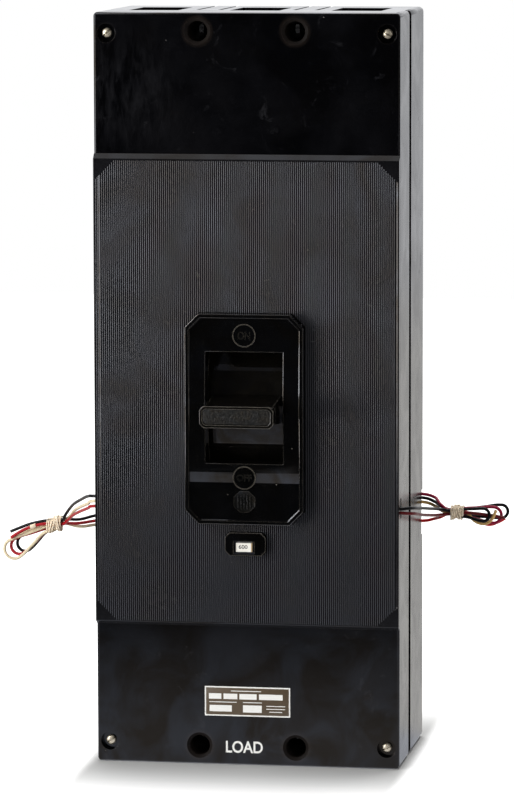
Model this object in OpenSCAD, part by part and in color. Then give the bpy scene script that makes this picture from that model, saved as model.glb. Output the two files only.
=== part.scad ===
// Three-pole moulded-case circuit breaker, standing on its load end.
// Origin: middle of the load end. +Z runs up to the line end, the toggle handle points along -Y.

/* [Case] */
// Width across the three poles
case_w = 209.55; // [190:0.05:230]
// Height from load end to line end
case_h = 514.35; // [480:0.05:560]
// Depth from the front of the end blocks to the mounting face
case_d = 120.65; // [112:0.05:140]
// Depth of the cover moulding
cover_d = 47; // [44:0.5:52]
// Corner radius of the case seen from the front
case_corner_r = 3.5; // [1:0.25:8]
// Radius along the front edges of the cover
front_edge_r = 1.8; // [0.5:0.1:3]
// Width of the shallow channel in the base beside the joint with the cover
channel_w = 10; // [4:0.5:14]
// Depth of that channel
channel_d = 2; // [1:0.25:4]

/* [Poles] */
// Width of a terminal compartment
pocket_w = 34.4; // [30:0.1:38]
// How far the compartments start behind the front of the cover
pocket_front = 35; // [30:0.5:40]
// How far the compartments end behind the front of the cover
pocket_back = 90.5; // [85:0.5:100]
// Depth of a compartment from the end of the case
pocket_h = 62; // [40:1:80]
// Width of a terminal strap
strap_w = 25.4; // [20:0.1:28]
// Thickness of a terminal strap
strap_t = 6.35; // [4:0.05:8]
// Distance of a strap's middle from the back wall of its compartment
strap_back = 9; // [6:0.25:14]
// How far a strap stays below the end of the case
strap_below = 12; // [4:0.5:25]
// Length of a strap that sits in the base
strap_root = 15; // [8:0.5:25]
// Radius of a strap's bolt hole
strap_hole_r = 5.3; // [3:0.1:7]
// Distance of that hole from the strap's free end
strap_hole_end = 15; // [10:0.5:25]
// Gap round a strap's root in the base
strap_fit = 0.15; // [0.05:0.05:0.5]

/* [Mounting] */
// Distance between mounting bolts across the case
mount_pitch = 66.7; // [62:0.1:70]
// Distance of the mounting bolts from each end
mount_end = 12.8; // [11:0.1:16]
// Radius of the deep counterbore for a mounting bolt's head
mount_head_r = 6.9; // [6.5:0.05:7.5]
// Radius of the counterbore's mouth
mount_mouth_r = 8.9; // [8:0.05:9.5]
// Depth of the widened mouth
mount_mouth_d = 1.2; // [0.8:0.1:3]
// Depth of the counterbore from the front
mount_head_d = 60; // [55:0.5:75]
// Radius of the mounting bolt hole
mount_hole_r = 4.2; // [3:0.1:5]
// Distance between the two barrier slots beside a mounting bolt
slot_pitch = 15.2; // [14.8:0.1:16]
// Width of a barrier slot
slot_w = 2.7; // [2:0.1:3.2]
// Depth of a barrier slot from the end of the case
slot_h = 38; // [25:1:60]

/* [Cover screws] */
// Distance of the screws from each side
screw_side = 8.875; // [8.5:0.025:11]
// Distance of the screws from each end
screw_end = 14.2; // [12:0.1:18]
// Radius of a screw head
screw_head_r = 3.3; // [3:0.1:4.5]
// Height of a screw head
screw_head_h = 3.4; // [2:0.1:4]
// Width of the screwdriver slot
screw_slot_w = 1.2; // [0.8:0.1:1.6]
// Depth of the screwdriver slot
screw_slot_d = 1.4; // [0.8:0.1:1.8]
// Radius of a screw shank
screw_r = 2.4; // [2:0.1:2.8]
// Length of a screw shank in the base
screw_grip = 20; // [12:1:40]
// Radius of the counterbore over a screw head
screw_well_r = 6.4; // [5.5:0.1:7.5]
// Depth of that counterbore
screw_well_d = 5.5; // [4:0.1:10]
// Gap round a screw shank
screw_fit = 0.2; // [0.1:0.05:0.4]

/* [Reeded front plate] */
// Height of the plate's lower edge above the load end
plate_low = 95.8; // [80:0.1:110]
// Height of the plate's upper edge above the load end
plate_high = 417.6; // [400:0.1:430]
// How far the plate stands in front of the end blocks
plate_t = 3.7; // [2.5:0.1:6]
// Width of the bevel round the plate
plate_bevel = 2.6; // [1:0.1:4]
// Plain margin between the bevel and the reeds
reed_margin = 0.6; // [0.2:0.1:3]
// Legs of the plain corner triangles
reed_corner = 11.3; // [6:0.1:20]
// Distance between reeds
reed_pitch = 1.4; // [1.2:0.05:4]
// Width of the groove between two reeds
reed_groove_w = 1.0; // [0.4:0.05:1.1]
// Depth of the groove between two reeds
reed_groove_d = 0.65; // [0.2:0.05:1]
// Gap round pieces set into the plate
inset_fit = 0.15; // [0.05:0.05:0.5]

/* [Handle escutcheon] */
// Width of the escutcheon
escutcheon_w = 81; // [76:0.5:90]
// Height of the escutcheon
escutcheon_h = 143.3; // [136:0.1:150]
// Height of the escutcheon's middle above the load end
escutcheon_z = 239.8; // [236:0.1:243]
// Legs of its corner chamfers
escutcheon_corner = 9.2; // [5:0.1:14]
// How far its rim stands in front of the end blocks
escutcheon_t = 12.7; // [10:0.1:16]
// Width of the rim
rim_w = 2.7; // [1.5:0.1:4]
// How far the flat floor lies behind the rim
floor_d = 3.2; // [1.5:0.1:4]
// Half height of the bowed field round the window
bow_half_h = 51.2; // [46:0.1:54]
// Rise of the bowed field at its middle
bow_rise = 3; // [1:0.1:3.1]
// Width of the handle window
window_w = 53.2; // [50:0.1:58]
// Height of the handle window
window_h = 76; // [72:0.5:78]
// Distance of the window's middle above the escutcheon's middle
window_up = 7.9; // [7:0.1:9]
// Radius of the round ON and OFF medallions
medallion_r = 8; // [5:0.1:9]
// Height of the medallions above the flat floor
medallion_t = 1.7; // [1.5:0.1:2.4]
// Width of a medallion's raised ring
medallion_ring = 0.8; // [0.5:0.1:1.5]
// Depth of a medallion's face below its ring
medallion_inset = 0.4; // [0.2:0.1:0.8]
// Distance of the ON medallion above the window's middle
medallion_up = 49.3; // [47:0.1:52]
// Distance of the OFF medallion below the window's middle
medallion_down = 47.7; // [47:0.1:52]

/* [Handle] */
// Height of the handle axis above the load end
handle_z = 245.1; // [244:0.1:249]
// Depth of the handle axis behind the front of the end blocks
pivot_back = 75; // [72:0.5:80]
// How far the grip stands in front of the end blocks
handle_reach = 43; // [36:0.5:50]
// Width of the grip
grip_w = 50.3; // [46:0.1:52]
// Height of the grip
grip_h = 14.8; // [12:0.1:18]
// Depth of the grip
grip_d = 9; // [6:0.25:12]
// Legs of the grip's corner chamfers
grip_corner = 2.7; // [1:0.1:4]
// Width of the grip's raised rim
grip_rim = 2.2; // [1:0.1:3.5]
// Depth of the grip's inset panel
grip_inset = 0.9; // [0.3:0.1:2]
// Width of the stem
stem_w = 46.5; // [42:0.1:48]
// Height of the stem at the shield
stem_root_h = 20; // [16:0.5:22]
// Height of the stem at the grip
stem_tip_h = 12.2; // [10:0.1:14]
// Radius of the curved shield that closes the window
shield_r = 70; // [67:0.5:71]
// Thickness of the shield and of its side cheeks
shield_t = 3.5; // [2:0.25:5]
// Width of the shield
shield_w = 57; // [55:0.5:58]
// Half angle of the shield
shield_half = 53; // [50:1:56]
// Radius of the hub on the pivot pin
hub_r = 9; // [7:0.5:11]
// Radius of the pivot pin
pin_r = 4; // [3:0.1:5]
// Length of pin held in the base on each side
pin_grip = 10; // [6:0.5:14]
// Radial gap between pin and bores
pin_fit = 0.05; // [0.02:0.01:0.1]
// Room round the moving handle inside the case
handle_room = 3.5; // [2.5:0.25:4.5]

/* [Rating window] */
// Width of the bezel
bezel_w = 28; // [26:0.1:32]
// Height of the bezel
bezel_h = 15.7; // [14:0.1:18]
// Gap between the bezel and the escutcheon above it
bezel_gap = 6.3; // [4:0.1:12]
// Legs of the bezel's corner chamfers
bezel_corner = 3.2; // [1:0.1:5]
// How far the bezel stands in front of the end blocks
bezel_t = 8; // [6:0.1:10]
// Width of the rating card
card_w = 11.2; // [8:0.1:14]
// Height of the rating card
card_h = 6.1; // [4:0.1:7]
// Thickness of the rating card
card_t = 1.2; // [0.6:0.1:2]
// How far the card's middle lies below the bezel's middle
card_drop = 2.4; // [0:0.1:2.5]
// How far the card's middle lies left of the bezel's middle
card_shift = 1; // [0:0.1:2]
// Gap round the card
card_fit = 0.1; // [0.05:0.05:0.3]
// Width and depth of the bezel's sloping mouth round the card
bezel_mouth = 1.5; // [0.8:0.1:1.7]

/* [Leads] */
// Diameter of a lead
lead_dia = 2.2; // [1.8:0.1:2.3]
// Height of the middle of the front lead outlets above the load end
outlet_front_z = 179; // [178.5:0.1:179.5]
// Height of the front lead outlets
outlet_front_h = 14; // [13.5:0.5:17]
// Distance of the front outlets behind the front of the end blocks
outlet_front_y = 6.3; // [5.8:0.1:7]
// Depth of the front outlets into the side
outlet_depth = 4; // [3.5:0.25:5]
// Height of the middle of the rear lead grooves above the load end
outlet_rear_z = 160.5; // [160:0.1:161]
// Height of the rear lead grooves
outlet_rear_h = 32; // [30:0.5:36]
// Depth of the rear grooves into the back
outlet_rear_d = 5.4; // [5:0.1:7]
// Length of the rear grooves from the side
outlet_rear_w = 14.8; // [14.775:0.025:20]
// Distance of the string ties behind the middle of the case
tie_back = 40; // [38:0.5:42]
// Width of a string tie along the leads
tie_w = 9; // [6:0.5:11]
// Thickness of a string tie
tie_t = 1.3; // [0.8:0.1:2]

/* [Hidden] */
$fn = 64;
front_y = -case_d / 2;
back_y = case_d / 2;
joint_y = front_y + cover_d;
pivot_y = front_y + pivot_back;
pole_pitch = case_w / 3;
poles = [-pole_pitch, 0, pole_pitch];
pole_names = ["left", "centre", "right"];
sides = [-1, 1];
cut = 1;
screw_pitch = case_w - 2 * screw_side;
// Angles of the screwdriver slots: line end left and right, load end left and right.
slot_turns = [-45, 25, -30, -20];
cavity_w = shield_w + 2 * handle_room;
cavity_r = shield_r + handle_room;
cavity_back = hub_r + handle_room;
floor_y = front_y - escutcheon_t + floor_d;
window_z = escutcheon_z + window_up;
medallion_z = [window_z + medallion_up, window_z - medallion_down];
bezel_z = escutcheon_z - escutcheon_h / 2 - bezel_gap - bezel_h / 2;
card_z = bezel_z - card_drop;
card_y = front_y - bezel_t + bezel_mouth;
bow_r = (bow_half_h * bow_half_h + bow_rise * bow_rise) / (2 * bow_rise);
bow_w = escutcheon_w - rim_w;
bow_sink = 6;
strap_y = front_y + pocket_back - strap_back;
strap_len = strap_root + pocket_h - strap_below;
lead_sides = 8;

// A lead's route: straight out of its outlet, then through its own points up to the tie.
// Each lead: height above the outlet's middle, length of the straight run beyond the side of the case,
// and for each further point its distance beyond the side, its depth behind the tie's middle and its height.
front_outlet_y = front_y + outlet_front_y;
rear_outlet_y = back_y - outlet_rear_d / 2;
function lead_route(lead, out, y, z, inside) =
  let (side = case_w / 2)
  concat([[out * (side - inside), y, z + lead[0]], [out * (side + lead[1]), y, z + lead[0]]],
    [for (p = lead[2]) [out * (side + p[0]), tie_back + p[1], p[2]]]);
left_front = [
  [4, 3.5, [[8, -84.5, 181.6], [20, -54, 174.6], [31, -27, 167.2], [36.4, -13.2, 162.4], [39.6, -7, 158.9],
    [42, -4.2, 155.6], [44, -2.6, 152.3]]],
  [0.5, 3.5, [[9, -83, 176.2], [21.5, -51, 168.8], [32.2, -21, 161.4], [37, -6.4, 156.8], [40.2, -1.6, 153.8],
    [44, 0, 151.8]]],
  [-3, 3.5, [[9, -83.5, 173], [22, -52, 165.5], [32, -26.2, 159], [37.1, -11.4, 154.7], [40.4, -5.6, 151.8],
    [44, -2.6, 149.2]]]];
left_rear = [
  [-7, 4, [[14.7, 15.7, 154.8], [24, 10.1, 153.8], [33.3, 4.5, 151.9], [44, 2.6, 151.8]]],
  [-10, 4, [[14.9, 15.3, 151], [24, 8.8, 150.3], [33.1, 2.3, 149.5], [44, 0, 149.2]]],
  [-13, 4, [[14.7, 15.7, 147.8], [24, 10.1, 147.3], [33.3, 4.5, 146.8], [44, 2.6, 149.2]]]];
right_front = [
  [-0.4, 2, [[5, -93, 179], [7.3, -90, 178.7], [8.6, -85, 178.1], [9, -76, 176.7], [10, -54, 173.6],
    [11.8, -34, 170.5], [13.9, -18, 168.1], [15.7, -8, 166.4], [17.8, -4.1, 165.6], [21.5, -2.6, 164.9]]],
  [-3.3, 2, [[5, -93, 175.4], [7.3, -90, 175], [8.6, -85, 174.2], [9, -76, 172.6], [10, -54, 168.9],
    [11.8, -34, 165.9], [13.9, -18, 163.6], [15.7, -8, 162.4], [17.8, -4.1, 162.1], [21.5, -2.6, 162.3]]]];
right_rear = [
  [12.5, 3, [[9.4, 15.1, 171.4], [12.2, 8.8, 170.2], [15.1, 2.8, 168.2], [21.5, 0, 164.9]]],
  [9.8, 3, [[9, 15.5, 168.4], [12.2, 10.1, 167.6], [15.5, 4.7, 166.6], [21.5, 2.6, 164.9]]],
  [6.8, 3, [[9.4, 15.1, 165.4], [12.2, 8.8, 165.1], [15.1, 2.6, 164.4], [21.5, 0, 162.3]]],
  [-6, 3, [[9, 15.5, 156.2], [12.2, 10.1, 157.6], [15.5, 4.7, 159.4], [21.5, 2.6, 162.3]]]];
left_routes = concat(
  [for (l = left_front) lead_route(l, -1, front_outlet_y, outlet_front_z, outlet_depth)],
  [for (l = left_rear) lead_route(l, -1, rear_outlet_y, outlet_rear_z, outlet_rear_w)]);
right_routes = concat(
  [for (l = right_front) lead_route(l, 1, front_outlet_y, outlet_front_z, outlet_depth)],
  [for (l = right_rear) lead_route(l, 1, rear_outlet_y, outlet_rear_z, outlet_rear_w)]);
lead_colors = [
  ["#1b1a19", "#e3d3b4", "#a5202a", "#1b1a19", "#b5343b", "#e3d3b4"],
  ["#16181d", "#6d1a1c", "#8a1238", "#121214", "#cda46a", "#c0141c"]];
neck_len = 12;
neck_h = 6;
neck_w = 8.4;
hank_t = 7;
neck_end_r = neck_h / 2;
// Where each tie starts: its distance beyond the side of the case, and its height.
left_ties = [44, 150.5];
right_ties = [21.5, 163.6];
// Each hank's round end: the distance of its middle beyond the side, its height, and its radius.
left_loop = [76, 134.5, 12];
right_loop = [55.5, 163.1, 8];

// A rectangle with round corners, from exact arcs.
module round_rect(w, h, r) {
  square([w - 2 * r, h], center = true);
  square([w, h - 2 * r], center = true);
  for (x = sides, y = sides)
    translate([x * (w / 2 - r), y * (h / 2 - r)]) circle(r);
}

// A rectangle with its corners cut off at 45 degrees.
module cut_rect(w, h, c) {
  polygon([[-w / 2 + c, -h / 2], [w / 2 - c, -h / 2], [w / 2, -h / 2 + c], [w / 2, h / 2 - c],
    [w / 2 - c, h / 2], [-w / 2 + c, h / 2], [-w / 2, h / 2 - c], [-w / 2, -h / 2 + c]]);
}

// Stands an outline drawn in X and Z upright, from depth y0 to depth y1, with its middle at height z.
module upright(y0, y1, z) {
  translate([0, y1, z]) rotate([90, 0, 0]) linear_extrude(y1 - y0) children();
}

// A box given by its corners.
module block(low, high) {
  translate(low) cube(high - low);
}

// A rod along Y, from depth y0 to depth y1.
module rod_y(r, y0, y1) {
  translate([0, y1, 0]) rotate([90, 0, 0]) cylinder(r = r, h = y1 - y0);
}

// A rod along X of the given length, centred on the handle axis.
module axle(r, length) {
  translate([0, pivot_y, handle_z]) rotate([0, 90, 0]) cylinder(r = r, h = length, center = true);
}

// Puts a shape at each end of the case, mirrored about half height.
module both_ends() {
  children();
  translate([0, 0, case_h]) mirror([0, 0, 1]) children();
}

// One outline with its two front corners rounded, used for the cover's sides and ends.
module front_rounded(w, d, r) {
  translate([-w / 2, r]) square([w, d - r]);
  translate([-w / 2 + r, 0]) square([w - 2 * r, r + cut]);
  for (x = sides) translate([x * (w / 2 - r), r]) circle(r);
}

// The compartments of the three poles at the load end.
module terminal_pockets() {
  for (x = poles)
    block([x - pocket_w / 2, front_y + pocket_front, -cut], [x + pocket_w / 2, front_y + pocket_back, pocket_h]);
}

// Everything that is open for the handle inside the case.
module handle_cavity() {
  intersection() {
    axle(cavity_r, cavity_w);
    block([-case_w, front_y, 0], [case_w, pivot_y + cavity_back, case_h]);
  }
  block([-cavity_w / 2, front_y - cut, window_z - window_h / 2],
    [cavity_w / 2, pivot_y, window_z + window_h / 2]);
}

// Counterbores and bolt holes for the two mounting bolts at the load end.
module mounting_bores() {
  for (x = sides) translate([x * mount_pitch / 2, 0, mount_end]) {
    rod_y(mount_head_r, front_y - cut, front_y + mount_head_d);
    rod_y(mount_hole_r, front_y, back_y + cut);
    translate([0, front_y + mount_mouth_d, 0]) rotate([90, 0, 0])
      cylinder(r1 = mount_head_r, r2 = mount_mouth_r, h = mount_mouth_d);
  }
}

// The pair of barrier slots beside each mounting bolt at the load end.
module barrier_slots() {
  for (x = sides, s = sides) translate([x * mount_pitch / 2 + s * slot_pitch / 2, 0, 0])
    block([-slot_w / 2, joint_y - cut, -cut], [slot_w / 2, back_y + cut, slot_h]);
}

// Wells and shank holes for the two cover screws at the load end.
module screw_bores() {
  for (x = sides) translate([x * screw_pitch / 2, 0, screw_end]) {
    rod_y(screw_well_r, front_y - cut, front_y + screw_well_d);
    rod_y(screw_r + screw_fit, front_y, joint_y + screw_grip + screw_fit);
  }
}

// Outlets in the sides where the leads come out near the front and along the back.
module lead_outlets() {
  for (x = sides) {
    translate([x * (case_w / 2 - outlet_depth), front_y + outlet_front_y, outlet_front_z])
      block([x < 0 ? -outlet_depth - cut : 0, -lead_dia, -outlet_front_h / 2],
        [x < 0 ? 0 : outlet_depth + cut, lead_dia, outlet_front_h / 2]);
    translate([x * (case_w / 2 - outlet_rear_w), back_y, outlet_rear_z])
      block([x < 0 ? -outlet_rear_w - cut : 0, -outlet_rear_d, -outlet_rear_h / 2],
        [x < 0 ? 0 : outlet_rear_w + cut, cut, outlet_rear_h / 2]);
  }
}

module base() {
  color("#141312") difference() {
    upright(joint_y, back_y, case_h / 2) round_rect(case_w, case_h, case_corner_r);
    for (x = sides) translate([x * case_w / 2, joint_y, 0])
      block([-channel_d, -cut, -cut], [channel_d, channel_w, case_h + cut]);
    both_ends() {
      terminal_pockets();
      mounting_bores();
      barrier_slots();
      screw_bores();
      for (x = poles) translate([x, strap_y, pocket_h])
        block([-strap_w / 2 - strap_fit, -strap_t / 2 - strap_fit, -cut],
          [strap_w / 2 + strap_fit, strap_t / 2 + strap_fit, strap_root]);
    }
    handle_cavity();
    axle(pin_r + pin_fit, cavity_w + 2 * pin_grip);
    lead_outlets();
  }
}

module cover() {
  color("#100f0e") difference() {
    intersection() {
      upright(front_y, joint_y, case_h / 2) round_rect(case_w, case_h, case_corner_r);
      translate([0, front_y, 0]) linear_extrude(case_h) front_rounded(case_w, cover_d, front_edge_r);
      translate([-case_w / 2, front_y, case_h / 2]) rotate([0, 90, 0]) linear_extrude(case_w)
        front_rounded(case_h, cover_d, front_edge_r);
    }
    both_ends() {
      terminal_pockets();
      mounting_bores();
      screw_bores();
    }
    handle_cavity();
    lead_outlets();
  }
}

// The grooves between the reeds, limited to the field with its plain corners.
module reed_grooves() {
  field_w = case_w - 2 * plate_bevel - 2 * reed_margin;
  field_h = plate_high - plate_low - 2 * plate_bevel - 2 * reed_margin;
  count = floor((field_w - reed_groove_w) / reed_pitch) + 1;
  intersection() {
    translate([0, front_y - plate_t, plate_low]) linear_extrude(plate_high - plate_low)
      for (i = [0 : count - 1]) translate([(i - (count - 1) / 2) * reed_pitch, 0])
        polygon([[-reed_groove_w / 2, 0], [-reed_groove_w / 2, -cut], [reed_groove_w / 2, -cut],
          [reed_groove_w / 2, 0], [0, reed_groove_d]]);
    upright(front_y - plate_t - 2 * cut, front_y, (plate_low + plate_high) / 2)
      cut_rect(field_w, field_h, reed_corner);
  }
}

module front_plate() {
  plate_h = plate_high - plate_low;
  color("#2b2a29") difference() {
    intersection() {
      translate([0, front_y, plate_low]) linear_extrude(plate_h)
        polygon([[-case_w / 2, 0], [case_w / 2, 0], [case_w / 2 - plate_bevel, -plate_t],
          [-case_w / 2 + plate_bevel, -plate_t]]);
      translate([-case_w / 2, front_y, plate_low]) rotate([90, 0, 90]) linear_extrude(case_w)
        polygon([[0, 0], [0, plate_h], [-plate_t, plate_h - plate_bevel], [-plate_t, plate_bevel]]);
    }
    reed_grooves();
    upright(front_y - plate_t - cut, front_y + cut, escutcheon_z)
      cut_rect(escutcheon_w + 2 * inset_fit, escutcheon_h + 2 * inset_fit, escutcheon_corner);
    upright(front_y - plate_t - cut, front_y + cut, bezel_z)
      cut_rect(bezel_w + 2 * inset_fit, bezel_h + 2 * inset_fit, bezel_corner);
  }
}

// The body of the escutcheon without its window.
module escutcheon_blank() {
  difference() {
    upright(front_y - escutcheon_t, front_y, escutcheon_z)
      cut_rect(escutcheon_w, escutcheon_h, escutcheon_corner);
    upright(front_y - escutcheon_t - cut, floor_y, escutcheon_z)
      cut_rect(escutcheon_w - 2 * rim_w, escutcheon_h - 2 * rim_w, escutcheon_corner - rim_w / 2);
  }
  intersection() {
    translate([0, floor_y + bow_r - bow_rise, window_z]) rotate([0, 90, 0])
      cylinder(r = bow_r, h = escutcheon_w, center = true, $fn = 200);
    block([-bow_w / 2, floor_y - bow_rise - cut, window_z - bow_half_h - bow_sink],
      [bow_w / 2, front_y - cut, window_z + bow_half_h + bow_sink]);
  }
  for (z = medallion_z) translate([0, 0, z]) rod_y(medallion_r, floor_y - medallion_t, front_y - cut);
}

module handle_escutcheon() {
  color("#0d0c0b") difference() {
    escutcheon_blank();
    for (z = medallion_z) translate([0, 0, z])
      rod_y(medallion_r - medallion_ring, floor_y - escutcheon_t, floor_y - medallion_t + medallion_inset);
    block([-window_w / 2, front_y - escutcheon_t - cut, window_z - window_h / 2],
      [window_w / 2, front_y + cut, window_z + window_h / 2]);
  }
}

// The sector of the shield, seen along X from the pivot.
module shield_sector(reach) {
  rise = reach * sin(shield_half);
  run = reach * cos(shield_half);
  translate([0, pivot_y, handle_z]) rotate([90, 0, 90]) linear_extrude(shield_w + 2 * cut, center = true)
    polygon([[0, 0], [-run, -rise], [-reach, -rise], [-reach, rise], [-run, rise]]);
}

// The grip with its inset panel.
module grip() {
  grip_y = front_y - handle_reach;
  difference() {
    upright(grip_y, grip_y + grip_d, handle_z) cut_rect(grip_w, grip_h, grip_corner);
    upright(grip_y - cut, grip_y + grip_inset, handle_z)
      cut_rect(grip_w - 2 * grip_rim, grip_h - 2 * grip_rim, grip_corner - grip_rim / 2);
  }
}

module operating_handle() {
  stem_tip = pivot_back + handle_reach - grip_d;
  color("#131110") {
    difference() {
      union() {
        intersection() {
          difference() {
            axle(shield_r, shield_w);
            axle(shield_r - shield_t, shield_w - 2 * shield_t);
          }
          shield_sector(2 * shield_r);
        }
        axle(hub_r, shield_w);
        translate([0, pivot_y, handle_z]) rotate([90, 0, 90]) linear_extrude(stem_w, center = true)
          polygon([[-shield_r + shield_t, -stem_root_h / 2], [-stem_tip, -stem_tip_h / 2],
            [-stem_tip, stem_tip_h / 2], [-shield_r + shield_t, stem_root_h / 2]]);
        grip();
      }
      axle(pin_r + pin_fit, shield_w + 2 * cut);
    }
  }
}

module handle_pivot() {
  color("#9a9a98") axle(pin_r, cavity_w + 2 * pin_grip);
}

module rating_bezel() {
  color("#0e0d0c") difference() {
    upright(front_y - bezel_t, front_y, bezel_z) cut_rect(bezel_w, bezel_h, bezel_corner);
    upright(front_y - bezel_t - cut, card_y + card_t, card_z) translate([-card_shift, 0])
      square([card_w + 2 * card_fit, card_h + 2 * card_fit], center = true);
    translate([-card_shift - card_w / 2 - bezel_mouth, front_y - bezel_t, card_z]) rotate([90, 0, 90])
      linear_extrude(card_w + 2 * bezel_mouth)
      polygon([[-cut, -card_h / 2 - bezel_mouth], [0, -card_h / 2 - bezel_mouth],
        [bezel_mouth, -card_h / 2], [bezel_mouth, card_h / 2],
        [0, card_h / 2 + bezel_mouth], [-cut, card_h / 2 + bezel_mouth]]);
  }
}

module rating_card() {
  color("#e9e6dc") upright(card_y, card_y + card_t, card_z) translate([-card_shift, 0])
    square([card_w, card_h], center = true);
}

// A slotted screw whose head sits at the bottom of its well.
module cover_screw(side, z, turn) {
  seat_y = front_y + screw_well_d;
  color("#b9ad93") translate([side * screw_pitch / 2, 0, z]) difference() {
    union() {
      rod_y(screw_head_r, seat_y - screw_head_h, seat_y);
      rod_y(screw_r, seat_y, joint_y + screw_grip);
    }
    rotate([0, turn, 0])
      block([-screw_head_r - cut, seat_y - screw_head_h - cut, -screw_slot_w / 2],
        [screw_head_r + cut, seat_y - screw_head_h + screw_slot_d, screw_slot_w / 2]);
  }
}

// A terminal strap of the load end; the line end mirrors it.
module strap(x) {
  color("#b9b4ab") translate([x, strap_y, strap_below]) difference() {
    block([-strap_w / 2, -strap_t / 2, 0], [strap_w / 2, strap_t / 2, strap_len]);
    translate([0, 0, strap_hole_end]) rod_y(strap_hole_r, -strap_t, strap_t);
  }
}

module line_strap(x) {
  translate([0, 0, case_h]) mirror([0, 0, 1]) strap(x);
}

function unit(v) = v / norm(v);
// The direction of a route at one of its points.
function heading(route, i) =
  unit(route[min(i + 1, len(route) - 1)] - route[max(i - 1, 0)]);
// The direction at a route's ends is that of the straight stretch in the outlet or in the tie.
function ring_heading(route, i, out) =
  i == 0 || i == len(route) - 1 ? [out, 0, 0] : heading(route, i);
function ring(centre, along, r) =
  let (across = unit(cross(along, [0, 0, 1])), up = cross(across, along))
  [for (k = [0 : lead_sides - 1])
    centre + r * (cos(360 * k / lead_sides) * across + sin(360 * k / lead_sides) * up)];

// One lead as a tube swept along its route.
module lead(route, out, tint) {
  rings = len(route);
  points = [for (i = [0 : rings - 1]) each ring(route[i], ring_heading(route, i, out), lead_dia / 2)];
  walls = [for (i = [0 : rings - 2], k = [0 : lead_sides - 1])
    let (a = i * lead_sides + k, b = i * lead_sides + (k + 1) % lead_sides)
    [a, b, b + lead_sides, a + lead_sides]];
  first = [for (k = [lead_sides - 1 : -1 : 0]) k];
  last = [for (k = [0 : lead_sides - 1]) (rings - 1) * lead_sides + k];
  color(tint) polyhedron(points, concat([first], walls, [last]));
}

// The folded leads beyond the tie, as one outline with round ends.
module hank(tie, out, loop, tint) {
  tie_x = case_w / 2 + tie[0];
  color(tint) {
    translate([out * (tie_x + neck_len / 2), tie_back, tie[1]]) cube([neck_len, neck_w, neck_h], center = true);
    translate([0, tie_back + hank_t / 2, 0]) rotate([90, 0, 0]) linear_extrude(hank_t) hull() {
      translate([out * (tie_x + neck_len), tie[1]]) circle(neck_end_r, $fn = 32);
      translate([out * (case_w / 2 + loop[0]), loop[1]]) circle(loop[2], $fn = 32);
    }
  }
}

// The string wound round the leads.
module tie(at, out) {
  color("#d9cbb0") translate([out * (case_w / 2 + at[0] + neck_len / 2), tie_back, at[1]]) difference() {
    cube([tie_w, neck_w + 2 * tie_t, neck_h + 2 * tie_t], center = true);
    cube([tie_w + 2 * cut, neck_w, neck_h], center = true);
  }
}

base();
cover();
front_plate();
handle_escutcheon();
operating_handle();
handle_pivot();
rating_bezel();
rating_card();
cover_screw(-1, case_h - screw_end, slot_turns[0]);  // line_screw_left
cover_screw(1, case_h - screw_end, slot_turns[1]);  // line_screw_right
cover_screw(-1, screw_end, slot_turns[2]);  // load_screw_left
cover_screw(1, screw_end, slot_turns[3]);  // load_screw_right
for (i = [0 : 2]) {
  line_strap(poles[i]);
  strap(poles[i]);
}
for (i = [0 : 5]) {
  lead(left_routes[i], -1, lead_colors[0][i]);
  lead(right_routes[i], 1, lead_colors[1][i]);
}
hank(left_ties, -1, left_loop, "#cbb892");  // left_hank
hank(right_ties, 1, right_loop, "#5c1518");  // right_hank
tie(left_ties, -1);  // left_tie
tie(right_ties, 1);  // right_tie
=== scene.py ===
import math
import random
import bpy
import bmesh
from mathutils import Matrix, Vector


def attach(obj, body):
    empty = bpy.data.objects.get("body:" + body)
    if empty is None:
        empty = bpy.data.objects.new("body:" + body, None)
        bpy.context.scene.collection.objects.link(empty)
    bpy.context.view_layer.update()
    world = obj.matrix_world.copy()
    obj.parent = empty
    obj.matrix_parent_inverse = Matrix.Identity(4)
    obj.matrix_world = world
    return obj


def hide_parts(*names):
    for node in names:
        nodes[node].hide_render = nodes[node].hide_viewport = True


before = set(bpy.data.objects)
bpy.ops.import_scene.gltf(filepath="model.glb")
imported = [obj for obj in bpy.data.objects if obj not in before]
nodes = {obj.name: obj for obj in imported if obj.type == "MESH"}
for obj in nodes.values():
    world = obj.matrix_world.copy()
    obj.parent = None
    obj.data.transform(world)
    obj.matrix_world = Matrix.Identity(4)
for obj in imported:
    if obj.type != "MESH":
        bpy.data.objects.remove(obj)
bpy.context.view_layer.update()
mm = 0.001
print("frame:", len(nodes), "CAD nodes")


# Camera, fitted to the corners of the case in the photograph

cameraLook = {"target": (7.05, -60.325, 252.05), "distance": 3133.9, "azimuth": 9.451, "elevation": 6.865,
              "roll": -0.138, "focalPixels": 4618.0, "imageHeight": 800.0, "sensor": 36.0}


def placeCamera(look):
    az, el, roll = (math.radians(look[key]) for key in ("azimuth", "elevation", "roll"))
    back = Vector((math.sin(az) * math.cos(el), -math.cos(az) * math.cos(el), math.sin(el)))
    level = Vector((math.cos(az), math.sin(az), 0.0))
    upright = back.cross(level)
    right = level * math.cos(roll) + upright * math.sin(roll)
    up = upright * math.cos(roll) - level * math.sin(roll)
    place = (Vector(look["target"]) + back * look["distance"]) * mm
    data = bpy.data.cameras.new("camera")
    data.sensor_fit = "VERTICAL"
    data.sensor_height = look["sensor"]
    data.lens = look["focalPixels"] / look["imageHeight"] * look["sensor"]
    camera = bpy.data.objects.new("camera", data)
    camera.matrix_world = Matrix((right, up, back)).transposed().to_4x4()
    camera.matrix_world.translation = place
    bpy.context.collection.objects.link(camera)
    bpy.context.scene.camera = camera


placeCamera(cameraLook)
bpy.context.scene.view_settings.view_transform = "Standard"
print("camera placed")


# Small helpers for finishes and pieces

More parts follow.
